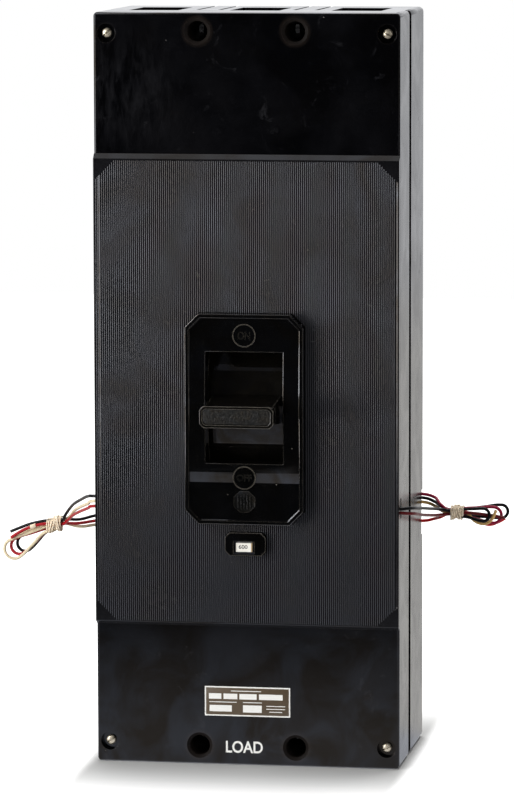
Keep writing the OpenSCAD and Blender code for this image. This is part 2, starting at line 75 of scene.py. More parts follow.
def hexColour(text):  # sRGB hex to linear
    parts = [int(text[i:i + 2], 16) / 255 for i in (1, 3, 5)]
    return tuple(p / 12.92 if p <= 0.04045 else ((p + 0.055) / 1.055) ** 2.4 for p in parts) + (1.0,)


def setInputs(tree, node, inputs):  # links a socket, sets a value
    for key, value in inputs.items():
        if isinstance(value, bpy.types.NodeSocket):
            tree.links.new(value, node.inputs[key])
        else:
            node.inputs[key].default_value = value


def addNode(tree, kind, inputs=None, **settings):
    node = tree.nodes.new("ShaderNode" + kind)
    for key, value in settings.items():
        setattr(node, key, value)
    setInputs(tree, node, inputs or {})
    return node


def newFinish(name):
    finish = bpy.data.materials.new(name)
    finish.use_nodes = True
    tree = finish.node_tree
    place = addNode(tree, "TexCoord").outputs["Object"]
    return finish, tree, tree.nodes["Principled BSDF"], place


def perMetre(sizeMm):  # a noise scale whose features are about this many millimetres
    return 1.0 / (sizeMm * mm)


def noise(tree, place, sizeMm, detail, **more):
    return addNode(tree, "TexNoise", {"Vector": place, "Scale": perMetre(sizeMm), "Detail": detail, **more}).outputs["Fac"]


def ramp(tree, value, start, stop, low=0.0, high=1.0, **settings):  # from start to stop, low becomes high
    span = {"Value": value, "From Min": start, "From Max": stop, "To Min": low, "To Max": high}
    return addNode(tree, "MapRange", span, **settings).outputs["Result"]


def blendColour(tree, share, first, second):  # each end is hex text, a colour or a socket
    ends = [hexColour(end) if isinstance(end, str) else end for end in (first, second)]
    return addNode(tree, "Mix", {0: share, 6: ends[0], 7: ends[1]}, data_type="RGBA").outputs[2]


def darker(colour, share):
    return tuple(c * share for c in colour[:3]) + (1.0,)


def reckon(tree, operation, *values):
    return addNode(tree, "Math", dict(enumerate(values)), operation=operation).outputs[0]


def reckonVector(tree, operation, *values, out="Vector"):
    return addNode(tree, "VectorMath", dict(enumerate(values)), operation=operation).outputs[out]


def axisOf(tree, vector, axis):
    return addNode(tree, "SeparateXYZ", {"Vector": vector}).outputs[axis]


def relief(tree, height, strength, depthMm):
    return addNode(tree, "Bump", {"Height": height, "Strength": strength, "Distance": depthMm * mm}).outputs["Normal"]


def dress(obj, *finishes):
    obj.data.materials.clear()
    for finish in finishes:
        obj.data.materials.append(finish)


def finishPiece(name, bm, finish, body="case", replaces=(), sharp=35.0):
    mesh = bpy.data.meshes.new(name)
    bm.to_mesh(mesh)
    bm.free()
    mesh.shade_smooth()
    if sharp:
        mesh.set_sharp_from_angle(angle=math.radians(sharp))
    obj = bpy.data.objects.new(name, mesh)
    bpy.context.collection.objects.link(obj)
    dress(obj, finish)
    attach(obj, body)
    if replaces:
        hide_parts(*replaces)
    return obj


def mergeShape(bm):  # one closed skin with its faces outwards
    bmesh.ops.remove_doubles(bm, verts=bm.verts, dist=1e-7)
    bmesh.ops.recalc_face_normals(bm, faces=bm.faces)


def addSlab(bm, low, high):  # a box between two corners in millimetres
    size = Vector(high) - Vector(low)
    middle = (Vector(high) + Vector(low)) / 2
    made = bmesh.ops.create_cube(bm, size=mm, matrix=Matrix.Translation(middle * mm) @ Matrix.Diagonal((*size, 1.0)))
    return made["verts"]


def roundEdges(bm, edges, width, segments=2):
    bmesh.ops.bevel(bm, geom=edges, offset=width * mm, offset_type="OFFSET", affect="EDGES",
                    segments=segments, profile=0.5, material=-1, clamp_overlap=True)


def edgesOf(verts):
    return list({e for v in verts for e in v.link_edges})


def wholeOf(bm):
    return bm.verts[:] + bm.edges[:] + bm.faces[:]


def vertsIn(made):  # the corners among what an extrusion made
    return [g for g in made["geom"] if isinstance(g, bmesh.types.BMVert)]


def newTube(name, diameter, ringSteps, alongSteps):
    curve = bpy.data.curves.new(name, "CURVE")
    curve.dimensions = "3D"
    curve.bevel_depth = diameter / 2 * mm
    curve.bevel_resolution = ringSteps
    curve.resolution_u = alongSteps
    curve.use_fill_caps = True
    return curve


def shapeOf(curve):  # the mesh that a curve or a text makes
    maker = bpy.data.objects.new(curve.name, curve)
    bpy.context.collection.objects.link(maker)
    mesh = bpy.data.meshes.new_from_object(maker.evaluated_get(bpy.context.evaluated_depsgraph_get()))
    bm = bmesh.new()
    bm.from_mesh(mesh)
    bpy.data.objects.remove(maker)
    bpy.data.curves.remove(curve)
    bpy.data.meshes.remove(mesh)
    return bm


# Control leads: from their outlets to the string ties beside the rear edge, then folded back or cut off

leadLook = {
    "diameter": 2.2, "side": 104.775, "front": (-54.025, 4.0), "rear": (57.625, 14.8),
    "tie": {"left": (44.0, 40.0, 150.5), "right": (21.5, 40.0, 163.6)},
    "colours": {"black": "#0a0a0e", "cream": "#f3e3c0", "red": "#b4121e", "rose": "#bf2c36", "darkRed": "#6e1418",
                "crimson": "#a3123e", "tan": "#e8bd78", "scarlet": "#ea2028"},
    "lengths": {"left_lead_1": 154.4, "left_lead_2": 213.6, "left_lead_3": 152.3, "left_lead_4": 140.9, "left_lead_5": 149.5,
                "left_lead_6": 100.0, "right_lead_1": 162.2, "right_lead_2": 144.3, "right_lead_3": 121.0,
                "right_lead_4": 125.0, "right_lead_5": 88.1, "right_lead_6": 87.4},
}

# Each row: name, colour, outlet, its height and the straight run beyond the side, as in part.scad; the route to the tie
# as distance beyond the side, depth behind the tie and height; then, measured from the tie, the run inside it and
# either the free end or a loop (distance, height, radius, depth) and the way back into the tie.
leadRows = [
    ("left_lead_1", "black", "front", 183.0, 3.5,
     [(8, -84.5, 181.6), (20, -54, 174.6), (31, -27, 167.2), (36.4, -13.2, 162.4), (39.6, -7, 158.9), (42, -4.2, 155.6),
      (44, -2.6, 152.3)],
     [(6, -2.2, 1.1), (12, -1.8, 0.9)],
     [(19.7, -1.5, -0.7), (25.4, -1.5, -2.3), (31.2, -1.4, -4.6), (38, -1.4, -7.5)], None),
    ("left_lead_2", "cream", "front", 179.5, 3.5,
     [(9, -83, 176.2), (21.5, -51, 168.8), (32.2, -21, 161.4), (37, -6.4, 156.8), (40.2, -1.6, 153.8), (44, 0, 151.8)],
     [(6, -0.6, -0.6), (12, -1.3, -3.1)], [(13, -2.2, -7.4), (6, -2.4, -5.4)], (35.4, -19.8, 7.0, -1.8)),
    ("left_lead_3", "red", "front", 176.0, 3.5,
     [(9, -83.5, 173), (22, -52, 165.5), (32, -26.2, 159), (37.1, -11.4, 154.7), (40.4, -5.6, 151.8), (44, -2.6, 149.2)],
     [(6, -3.2, -1), (12, -3.8, -1.1)],
     [(19.1, -4.2, -2.4), (25.5, -4.2, -4.6), (31.3, -4.2, -7.6), (37.1, -4.2, -11.5)], None),
    ("left_lead_4", "black", "rear", 153.5, 4.0,
     [(14.7, 15.7, 154.8), (24, 10.1, 153.8), (33.3, 4.5, 151.9), (44, 2.6, 151.8)],
     [(6, 4.3, -1), (12, 4, -4.1)], [(13, 3, -8.2), (6, 2.8, -5.6)], (28.6, -16.4, 5.7, 4.0)),
    ("left_lead_5", "rose", "rear", 150.5, 4.0,
     [(14.9, 15.3, 151), (24, 8.8, 150.3), (33.1, 2.3, 149.5), (44, 0, 149.2)],
     [(6, 0.5, -3), (12, 1, -4.8)], [(13, 0.5, -7.8), (6, 0.2, -5.8)], (32.4, -18.0, 5.9, 1.4)),
    ("left_lead_6", "cream", "rear", 147.5, 4.0,
     [(14.7, 15.7, 147.8), (24, 10.1, 147.3), (33.3, 4.5, 146.8), (44, 2.6, 149.2)],
     [(6, 1.9, -1.2), (12, 1.5, -2)], [(20.2, 0.9, -5.1), (25.9, 0.6, -7), (31.6, 0.6, -9.6), (35.2, 0.6, -11.5)], None),
    ("right_lead_1", "black", "front", 178.6, 2.0,
     [(5, -93, 179), (7.3, -90, 178.7), (8.6, -85, 178.1), (9, -76, 176.7), (10, -54, 173.6), (11.8, -34, 170.5),
      (13.9, -18, 168.1), (15.7, -8, 166.4), (17.8, -4.1, 165.6), (21.5, -2.6, 164.9)],
     [(6, -2.8, 2), (13.5, -3.4, 2.7)], [(13, -3.2, -3), (6, -3, -2.6)], (24.2, -1.0, 4.4, -4.6)),
    ("right_lead_2", "darkRed", "front", 175.7, 2.0,
     [(5, -93, 175.4), (7.3, -90, 175), (8.6, -85, 174.2), (9, -76, 172.6), (10, -54, 168.9), (11.8, -34, 165.9),
      (13.9, -18, 163.6), (15.7, -8, 162.4), (17.8, -4.1, 162.1), (21.5, -2.6, 162.3)],
     [(6, -3, -0.5), (13.4, -3, 0)], [(18.9, -2, -0.5), (25.1, -1.6, -1.2), (32, -1.6, -2), (38.6, -1.6, -3.3)], None),
    ("right_lead_3", "crimson", "rear", 173.0, 3.0,
     [(9.4, 15.1, 171.4), (12.2, 8.8, 170.2), (15.1, 2.8, 168.2), (21.5, 0, 164.9)],
     [(6, 0.1, 2.2), (13.1, 0.2, 2.9)], [(13.1, 0.2, -3.2), (6, 0, -3)], (30.8, -1.7, 5.6, 0.6)),
    ("right_lead_4", "black", "rear", 170.3, 3.0,
     [(9, 15.5, 168.4), (12.2, 10.1, 167.6), (15.5, 4.7, 166.6), (21.5, 2.6, 164.9)],
     [(6, 2.7, 1.8), (12.8, 2.8, 2.2)], [(12.8, 2.8, -3), (6, 2.7, -2.8)], (36.0, 0.6, 4.6, 3.8)),
    ("right_lead_5", "tan", "rear", 167.3, 3.0,
     [(9.4, 15.1, 165.4), (12.2, 8.8, 165.1), (15.1, 2.6, 164.4), (21.5, 0, 162.3)],
     [(6, -0.4, -0.6), (12.4, -0.8, -0.5)],
     [(16.2, -2.1, -4.2), (20.7, -2.4, -7), (25.9, -2.6, -7.3), (30.1, -3.4, -4.4), (32.4, -4, 0.2), (33.2, -3.6, 2.4)],
     None),
    ("right_lead_6", "scarlet", "rear", 154.5, 3.0,
     [(9, 15.5, 156.2), (12.2, 10.1, 157.6), (15.5, 4.7, 159.4), (21.5, 2.6, 162.3)],
     [(6, 3.4, -0.8), (12.8, 4.6, -1)],
     [(16.9, 6, -4.1), (21.5, 6.4, -7.5), (27, 6.4, -9.4), (33.2, 6.2, -7.6), (38.4, 6.2, -4.7)], None),
]


def loopPoints(start, end, loop):  # straight run, round the far end of the loop, straight run back
    cx, cz, radius, depth = loop

    def touch(point, sign):
        dx, dz = point[0] - cx, point[2] - cz
        return math.atan2(dz, dx) + sign * math.acos(radius / math.hypot(dx, dz))

    first, last = touch(start, -1), touch(end, 1)  # over the top, round the far end and back below
    sweep = (first - last) % (2 * math.pi)
    steps = max(6, round(math.degrees(sweep) / 30))
    arc = []
    for i in range(steps + 1):
        angle = first - sweep * i / steps
        arc.append((cx + radius * math.cos(angle), depth, cz + radius * math.sin(angle)))
    rise = Vector(start).lerp(Vector(arc[0]), 0.5)
    fall = Vector(arc[-1]).lerp(Vector(end), 0.5)
    return [tuple(rise)] + arc + [tuple(fall)]


def insulatedLead(name, colour):
    # Rubber-covered hook-up wire, extruded: a soft satin skin, a little uneven in tone and handled dull in places
    finish, tree, shader, place = newFinish(name)
    tone = noise(tree, place, 4.0, 3.0)
    skin = noise(tree, place, 0.5, 2.0)
    setInputs(tree, shader, {"Base Color": blendColour(tree, tone, darker(colour, 0.72), colour),
                             "Roughness": ramp(tree, tone, 0.0, 1.0, 0.34, 0.55),
                             "Normal": relief(tree, skin, 0.25, 0.1), "IOR": 1.45, "Specular IOR Level": 0.3})
    return finish


leadFinish = {key: insulatedLead("rubber_lead_" + key, hexColour(value)) for key, value in leadLook["colours"].items()}
for name, colour, outlet, height, run, route, inTie, tail, loop in leadRows:
    side = name.split("_")[0]
    out = -1.0 if side == "left" else 1.0
    tieOut, tieY, tieZ = leadLook["tie"][side]
    depth, inside = leadLook[outlet]
    after = list(inTie) + (loopPoints(inTie[-1], tail[0], loop) if loop else []) + list(tail)
    points = [(-inside, depth, height), (run, depth, height)] + [(d, tieY + y, z) for d, y, z in route]
    points += [(tieOut + d, tieY + y, tieZ + z) for d, y, z in after]
    curve = newTube(name + "_wire", leadLook["diameter"], 3, 6)
    spline = curve.splines.new("BEZIER")
    spline.bezier_points.add(len(points) - 1)
    for knot, (d, y, z) in zip(spline.bezier_points, points):
        knot.co = Vector((out * (leadLook["side"] + d), y, z)) * mm
        knot.handle_left_type = knot.handle_right_type = "AUTO"
    wire = bpy.data.objects.new(name + "_wire", curve)
    bpy.context.collection.objects.link(wire)
    dress(wire, leadFinish[colour])
    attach(wire, "case")
    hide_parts(*([name] + ([side + "_hank"] if name.endswith("_2") else [])))


# String ties, wound by hand round the bundles

tieLook = {
    "string": 1.2, "perTurn": 18, "colour": "#fff1da", "shade": "#cdb08a", "startAngle": 0.7, "slant": 0.35, "waist": 0.08,
    "squareness": 2.6,
    "left": {"from": 1.0, "to": 11.8, "turns": 8.0, "midY": 0.45, "halfY": 5.3, "midZ": (-0.6, -3.0), "halfZ": 4.7,
             "over": [(2.4, 5.2, 2.4, 1.0, 1.6), (8.6, 5.0, 2.0, 1.0, -2.2)]},
    "right": {"from": 1.2, "to": 10.0, "turns": 6.5, "midY": 0.5, "halfY": 5.2, "midZ": (-0.2, -0.1), "halfZ": 4.3,
              "over": [(2.2, 5.4, 2.2, 0.9, 1.8), (8.0, 5.0, 1.6, 0.9, -2.0)]},
}


def cottonString(look):
    # Twisted cotton twine: matt, pale cream, with painted shade in darker noise patches, and fuzzy along the yarn
    finish, tree, shader, place = newFinish("cotton_twine")
    yarn = noise(tree, place, 0.9, 5.0, Roughness=0.65)
    fibre = noise(tree, place, 0.35, 3.0)
    # the shade colour is painted shade, laid in patches by the yarn noise
    tone = blendColour(tree, ramp(tree, yarn, 0.3, 0.62), look["shade"], look["colour"])
    setInputs(tree, shader, {"Base Color": tone, "Normal": relief(tree, fibre, 0.6, 0.2), "Roughness": 0.9,
                             "Sheen Weight": 0.25})
    return finish


def windString(side, finish):
    spec = tieLook[side]
    out = -1.0 if side == "left" else 1.0
    tieOut, tieY, tieZ = leadLook["tie"][side]
    power = tieLook["squareness"]
    rounds = []
    layers = [(spec["from"], spec["to"], spec["turns"], 0.0, tieLook["slant"])] + spec["over"]
    for begin, stop, count, lift, slant in layers:
        steps = round(count * tieLook["perTurn"])
        for i in range(steps + 1):
            t = i / steps
            angle = 2 * math.pi * count * t + tieLook["startAngle"]
            along = begin + (stop - begin) * t + slant * math.sin(angle)  # slanting turns cross the first layer
            share = max(0.0, min(1.0, (along - spec["from"]) / (spec["to"] - spec["from"])))
            midZ = spec["midZ"][0] + (spec["midZ"][1] - spec["midZ"][0]) * share
            waist = 1.0 - tieLook["waist"] * math.sin(math.pi * share)  # pulled in at the middle
            cosine, sine = math.cos(angle), math.sin(angle)
            corner = (abs(cosine) ** power + abs(sine) ** power) ** (-1 / power)
            rounds.append((out * (leadLook["side"] + tieOut + along),
                           tieY + spec["midY"] + (spec["halfY"] + lift) * waist * cosine * corner,
                           tieZ + midZ + (spec["halfZ"] + lift) * waist * sine * corner))
    curve = newTube("twine", tieLook["string"], 2, 2)
    spline = curve.splines.new("NURBS")
    spline.points.add(len(rounds) - 1)
    for knot, point in zip(spline.points, rounds):
        knot.co = (*(Vector(point) * mm), 1.0)
    spline.order_u = 4
    spline.use_endpoint_u = True
    bm = shapeOf(curve)
    mergeShape(bm)
    return finishPiece(side + "_tie_twine", bm, finish, replaces=(side + "_tie",), sharp=60.0)


twine = cottonString(tieLook)
ties = {side: windString(side, twine) for side in ("left", "right")}

# Paper marker wrapped round one red lead

markerLook = {"radius": 1.6, "length": 4.2, "middle": (21.0, -4.2, -3.0), "along": (6.4, 0.0, -2.2), "round": 0.25}


def makeMarker(look):
    tieOut, tieY, tieZ = leadLook["tie"]["left"]
    d, y, z = look["middle"]
    place = Vector((-(leadLook["side"] + tieOut + d), tieY + y, tieZ + z)) * mm
    way = Vector((-look["along"][0], look["along"][1], look["along"][2]))
    bm = bmesh.new()
    made = bmesh.ops.create_cone(bm, cap_ends=True, segments=24, radius1=look["radius"] * mm, radius2=look["radius"] * mm,
                                 depth=look["length"] * mm, matrix=Matrix.Translation(place) @ way.to_track_quat("Z", "Y")
                                 .to_matrix().to_4x4())
    rims = [e for e in edgesOf(made["verts"]) if e.calc_face_angle(0.0) > 1.0]
    roundEdges(bm, rims, look["round"])
    mergeShape(bm)
    return finishPiece("left_lead_marker", bm, twine, sharp=40.0)


marker = makeMarker(markerLook)


# Finishes of the case and its fittings

def mouldedPhenolic(name, look):
    # Compression-moulded black phenolic: a deep black with a polished skin, hand smudges that dull the gloss in patches,
    # faint scuffs and specks of dust, and edges rubbed a little paler
    finish, tree, shader, place = newFinish(name)
    hazy = ramp(tree, noise(tree, place, look["cloudMm"], 5.0, Roughness=0.6), 0.42, 0.72)
    colour = blendColour(tree, hazy, look["dark"], look["pale"])
    scuffGrain = noise(tree, place, look["scuffMm"], 8.0, Roughness=0.72, Distortion=0.6)
    scuff = ramp(tree, scuffGrain, 0.6, 0.8, 0.0, look["scuff"])
    colour = blendColour(tree, scuff, colour, look["dust"])
    cells = addNode(tree, "TexVoronoi", {"Vector": place, "Scale": perMetre(look["speckMm"])}, feature="F1")
    chance = addNode(tree, "SeparateColor", {"Color": cells.outputs["Color"]}).outputs["Red"]
    speck = reckon(tree, "MULTIPLY", reckon(tree, "GREATER_THAN", chance, 0.86),
                   reckon(tree, "LESS_THAN", cells.outputs["Distance"], 0.035))
    colour = blendColour(tree, speck, colour, look["speck"])
    corner = addNode(tree, "AmbientOcclusion", {"Distance": look["edgeMm"] * mm}, inside=True, only_local=True, samples=6)
    rubbed = ramp(tree, corner.outputs["AO"], 0.35, 0.8, look["rub"], 0.0)
    colour = blendColour(tree, reckon(tree, "MULTIPLY", rubbed, scuffGrain), colour, look["edge"])
    smudge = noise(tree, place, look["smudgeMm"], 3.0, Roughness=0.55, Distortion=1.2)
    gloss = ramp(tree, smudge, 0.35, 0.7, look["glossy"], look["dull"])
    dullness = reckon(tree, "MULTIPLY_ADD", scuff, 0.5, gloss)
    ripple = noise(tree, place, look["rippleMm"], 2.0)
    if "crest" in look:  # painted highlight: the front tips of the reeds are painted paler, the grooves stay black
        top = ramp(tree, axisOf(tree, place, "Y"), look["crestFrom"] * mm, look["crestTo"] * mm, 1.0, 0.0)
        colour = blendColour(tree, top, colour, look["crest"])
    if "smearAt" in look:  # streaks where the case has been held and wiped
        off = reckonVector(tree, "DISTANCE", place, tuple(c * mm for c in look["smearAt"]), out="Value")
        near = ramp(tree, off, 0.0, look["smearReach"] * mm, look["smear"], 0.0, interpolation_type="SMOOTHSTEP")
        drawn = addNode(tree, "Mapping", {"Vector": place, "Scale": (1.0, 1.0, 0.3)}).outputs["Vector"]
        streak = ramp(tree, noise(tree, drawn, 6.0, 6.0, Roughness=0.7), 0.42, 0.72)
        colour = blendColour(tree, reckon(tree, "MULTIPLY", streak, near), colour, look["dust"])
    facing = addNode(tree, "SeparateXYZ", {"Vector": addNode(tree, "TexCoord").outputs["Normal"]})
    if "sideDull" in look:  # the ground sides are less polished than the front
        aside = ramp(tree, reckon(tree, "ABSOLUTE", facing.outputs["X"]), 0.7, 0.95, 0.0, look["sideDull"])
        dullness = reckon(tree, "ADD", dullness, aside)
    if "wells" in look:  # dull bolt wells, each with a dusty ring round its mouth
        wells = look["wells"]
        fold = reckonVector(tree, "ABSOLUTE", reckonVector(tree, "SUBTRACT", place, (0, 0, wells["midZ"] * mm)))
        off = reckonVector(tree, "SUBTRACT", fold, (wells["x"] * mm, 0, wells["z"] * mm))
        reach = reckonVector(tree, "LENGTH", reckonVector(tree, "MULTIPLY", off, (1, 0, 1)), out="Value")
        inside = ramp(tree, reach, (wells["radius"] - 0.2) * mm, wells["radius"] * mm, 1.0, 0.0)
        dullness = reckon(tree, "MULTIPLY_ADD", inside, 0.5, dullness)
        setInputs(tree, shader, {"Specular IOR Level": ramp(tree, inside, 0.0, 1.0, 0.5, 0.08)})
        ring = ramp(tree, reach, wells["radius"] * mm, wells["ring"] * mm, wells["dust"], 0.0)
        colour = blendColour(tree, reckon(tree, "MULTIPLY", ring, scuffGrain), colour, wells["grime"])
    # The specular tint paints the colour of reflections: bluish like the room the black mirrors on the top, the sides
    # and clean faces, brownish on front and back faces where the smudge noise is high
    handled = reckon(tree, "MULTIPLY", ramp(tree, smudge, 0.36, 0.64), reckon(tree, "ABSOLUTE", facing.outputs["Y"]))
    shine = blendColour(tree, handled, "#f4f7ff", "#cdbfae")  # painted reflection tint: bluish for the mirrored room, brownish on front and back faces where hand smudges lie
    setInputs(tree, shader, {"Specular Tint": shine, "Base Color": colour, "Roughness": dullness, "IOR": look["ior"],
                             "Normal": relief(tree, ripple, look["ripple"], 0.2)})
    return finish


phenolicLook = {
    "case": {"dark": "#030304", "pale": "#0c0c0e", "dust": "#3c3c40", "speck": "#6d6a66", "edge": "#3a3531", "ior": 1.5,
             "cloudMm": 45.0, "scuffMm": 11.0, "scuff": 0.38, "speckMm": 9.0, "edgeMm": 1.4, "rub": 0.4, "sideDull": 0.17,
             "smearAt": (-88.0, -60.0, 462.0), "smearReach": 62.0, "smear": 0.2,
             "wells": {"x": 33.35, "midZ": 257.175, "z": 244.375, "radius": 9.0, "ring": 11.6, "dust": 0.45,
                       "grime": "#352d27"},
             "smudgeMm": 38.0, "glossy": 0.05, "dull": 0.13, "rippleMm": 22.0, "ripple": 0.15},
    "plate": {"dark": "#0f0f11", "pale": "#17171a", "dust": "#3c3c40", "speck": "#6d6a66", "edge": "#3a3531", "ior": 1.46,
              "cloudMm": 30.0, "scuffMm": 9.0, "scuff": 0.2, "speckMm": 10.0, "edgeMm": 1.2, "rub": 0.4,
              "smudgeMm": 38.0, "glossy": 0.12, "dull": 0.2, "rippleMm": 20.0, "ripple": 0.12},
    "reeds": {"dark": "#060607", "pale": "#0c0c0e", "dust": "#4b4a4a", "speck": "#77746e", "edge": "#33302d", "ior": 1.62,
              # crest is a painted highlight colour for the front tips of the reeds
              "crest": "#36373c", "crestFrom": -64.08, "crestTo": -63.8,
              "cloudMm": 24.0, "scuffMm": 9.0, "scuff": 0.18, "speckMm": 10.0, "edgeMm": 0.3, "rub": 0.1,
              "smudgeMm": 45.0, "glossy": 0.22, "dull": 0.28, "rippleMm": 6.0, "ripple": 0.1},
    "escutcheon": {"dark": "#020202", "pale": "#050505", "dust": "#3b3834", "speck": "#7a766f", "edge": "#8d867b",
                   "ior": 2.3, "cloudMm": 12.0, "scuffMm": 7.0, "scuff": 0.1, "speckMm": 11.0, "edgeMm": 0.9, "rub": 0.9,
                   "smudgeMm": 26.0, "glossy": 0.05, "dull": 0.09, "rippleMm": 20.0, "ripple": 0.12},
    "letters": {"dark": "#070706", "pale": "#0d0d0c", "dust": "#45423e", "speck": "#7a766f", "edge": "#6f695f",
                "ior": 1.6, "cloudMm": 3.0, "scuffMm": 2.0, "scuff": 0.12, "speckMm": 11.0, "edgeMm": 0.25, "rub": 0.7,
                "smudgeMm": 9.0, "glossy": 0.16, "dull": 0.3, "rippleMm": 4.0, "ripple": 0.1},
    "handle": {"dark": "#0b0a08", "pale": "#13110d", "dust": "#423d37", "speck": "#8a857c", "edge": "#b5ada0", "ior": 1.95,
               "cloudMm": 10.0, "scuffMm": 6.0, "scuff": 0.12, "speckMm": 12.0, "edgeMm": 0.9, "rub": 1.2,
               "smudgeMm": 18.0, "glossy": 0.04, "dull": 0.08, "rippleMm": 14.0, "ripple": 0.15},
    "grain": {"dark": "#0b0b0a", "pale": "#2d2c29", "dust": "#4c4a45", "speck": "#8a857c", "edge": "#5d564d", "ior": 1.55,
              "cloudMm": 1.1, "scuffMm": 2.6, "scuff": 0.3, "speckMm": 12.0, "edgeMm": 0.1, "rub": 0.0,
              "smudgeMm": 8.0, "glossy": 0.3, "dull": 0.45, "rippleMm": 0.9, "ripple": 0.9},
}
phenolic = {key: mouldedPhenolic("moulded_phenolic_" + key, look) for key, look in phenolicLook.items()}


def wornMetal(name, look):
    # Plated or bare metal that has been handled: tarnish in clouds, fine turning or drawing marks, grime in the corners
    finish, tree, shader, place = newFinish(name)
    tarnish = noise(tree, place, look["tarnishMm"], 5.0, Roughness=0.6)
    tone = blendColour(tree, tarnish, look["dull"], look["bright"])
    corner = addNode(tree, "AmbientOcclusion", {"Distance": look["grimeMm"] * mm}, only_local=True, samples=6)
    grime = ramp(tree, corner.outputs["AO"], 0.35, 0.85, 0.9, 0.0)
    stretch = addNode(tree, "Mapping", {"Vector": place, "Scale": look["stretch"]}).outputs["Vector"]
    marks = noise(tree, stretch, look["markMm"], 3.0)
    setInputs(tree, shader, {"Base Color": blendColour(tree, grime, tone, "#17130f"),
                             "Roughness": ramp(tree, marks, 0.0, 1.0, look["smooth"], look["rough"]),
                             "Normal": relief(tree, marks, 0.15, 0.1), "Metallic": look.get("metal", 1.0)})
    return finish


metalLook = {
    "nickel": {"metal": 0.75, "bright": "#f0e6d2", "dull": "#c4b79d", "tarnishMm": 1.6, "grimeMm": 0.7, "markMm": 0.7,
               "stretch": (1.0, 1.0, 4.0), "smooth": 0.26, "rough": 0.46},
    "tinned": {"bright": "#b9b2a6", "dull": "#857d71", "tarnishMm": 7.0, "grimeMm": 2.5, "markMm": 1.2,
               "stretch": (6.0, 6.0, 0.6), "smooth": 0.3, "rough": 0.5},
    "steel": {"bright": "#b4b3b0", "dull": "#8c8a86", "tarnishMm": 3.0, "grimeMm": 0.8, "markMm": 0.8,
              "stretch": (0.4, 4.0, 4.0), "smooth": 0.2, "rough": 0.35},
}
screwNickel = wornMetal("nickel_plated_steel", metalLook["nickel"])
strapCopper = wornMetal("tinned_copper_bar", metalLook["tinned"])
pinSteel = wornMetal("ground_steel_pin", metalLook["steel"])

cardLook = {"white": "#f7f5ef", "fleck": "#e6e1d5", "aged": "#a98f66", "agedFrom": 4.0}


def paperCard(look):
    # Uncoated index card: flat white with a faint fibre, browned along its right edge
    finish, tree, shader, place = newFinish("index_card")
    fibre = noise(tree, place, 0.7, 4.0)
    tone = blendColour(tree, fibre, look["fleck"], look["white"])
    edge = ramp(tree, axisOf(tree, place, "X"), (look["agedFrom"] - 0.5) * mm, look["agedFrom"] * mm)
    setInputs(tree, shader, {"Base Color": blendColour(tree, edge, tone, look["aged"]),
                             "Normal": relief(tree, fibre, 0.2, 0.1), "Roughness": 0.75})
    return finish


nodeFinish = {"base": phenolic["case"], "cover": phenolic["case"], "front_plate": phenolic["reeds"],
              "handle_escutcheon": phenolic["escutcheon"], "rating_bezel": phenolic["escutcheon"],
              "operating_handle": phenolic["handle"], "handle_pivot": pinSteel, "rating_card": paperCard(cardLook)}
for name in nodes:
    if "screw" in name:
        nodeFinish[name] = screwNickel
    if "strap" in name:
        nodeFinish[name] = strapCopper
for name, finish in nodeFinish.items():
    dress(nodes[name], finish)

edgeRounds = {"base": 0.3, "cover": 0.3, "rating_card": 0.1}
edgeRounds.update({name: 0.5 for name in nodes if "strap" in name})
for name, width in edgeRounds.items():  # moulded and worn edges are never knife sharp
    node = nodes[name]
    weld = node.modifiers.new("weld", "WELD")
    weld.merge_threshold = 1e-6
    plain = node.modifiers.new("plain", "DECIMATE")
    plain.decimate_type = "DISSOLVE"
    plain.angle_limit = math.radians(0.5)
    bevel = node.modifiers.new("edges", "BEVEL")
    bevel.width = width * mm
    bevel.segments = 2
    bevel.limit_method = "ANGLE"
    bevel.angle_limit = math.radians(35)
    bevel.use_clamp_overlap = True
print("CAD nodes dressed:", len(nodeFinish))


# Polished mouldings: the CAD shapes with their edges rounded

creaseLook = {"rounded": 28.0, "sharp": 40.0, "faintFrom": 3.0, "faintTo": 8.8}  # degrees between two faces
mouldingLook = {
    "front_plate": {"piece": "plate_moulding", "finish": "plate", "slot": "reeded_front", "body": "case", "frontOf": 80.0,
                    "within": 101.9, "highFrom": 414.8, "lowFrom": 98.6, "width": 0.45,
                    "square": {"front": -63.9, "halfWidth": 104.775, "outerUp": 1.4, "frontUp": 0.2, "midZ": 256.7,
                               "grooveFront": -63.0, "widen": [(100.7, 100.9, 1.8), (101.2, 101.4, 2.4)]}},
    "handle_escutcheon": {"piece": "escutcheon_moulding", "finish": "escutcheon", "slot": "escutcheon_black", "body": "case",
                          "frontOf": -62.0, "width": 0.8,
                          "band": {"top": 203.5, "forward": 0.25, "nearest": -71.2, "farthest": -70.2, "halfWidth": 38.2,
                                   "spare": (0.0, 200.0, 9.2)},
                          "fine": 0.18, "fineSpots": [(0.0, 297.0, 8.7), (0.0, 200.0, 8.7)]},
    "rating_bezel": {"piece": "bezel_moulding", "finish": "escutcheon", "slot": "escutcheon_black", "body": "case",
                     "frontOf": -62.0, "width": 0.45},
    "operating_handle": {"piece": "handle_moulding", "finish": "handle", "slot": "handle_black", "body": "handle",
                         "frontOf": 80.0, "width": 0.7,
                         "flat": {"pivotY": 14.675, "pivotZ": 245.1, "radius": 70.0, "from": 211.0, "to": 246.0,
                                  "meets": 218.3, "tilt": 8.0}},
}


def flattenShield(bm, look):  # a flatter band across the shield below the grip
    lean = math.tan(math.radians(look["tilt"]))
    meetY = look["pivotY"] - math.sqrt(look["radius"] ** 2 - (look["meets"] - look["pivotZ"]) ** 2)
    for v in bm.verts:
        y, z = v.co.y / mm, v.co.z / mm
        reach = math.hypot(y - look["pivotY"], z - look["pivotZ"])
        if abs(reach - look["radius"]) < 0.2 and look["from"] < z < look["to"]:
            v.co.y = max(y, meetY - (z - look["meets"]) * lean) * mm


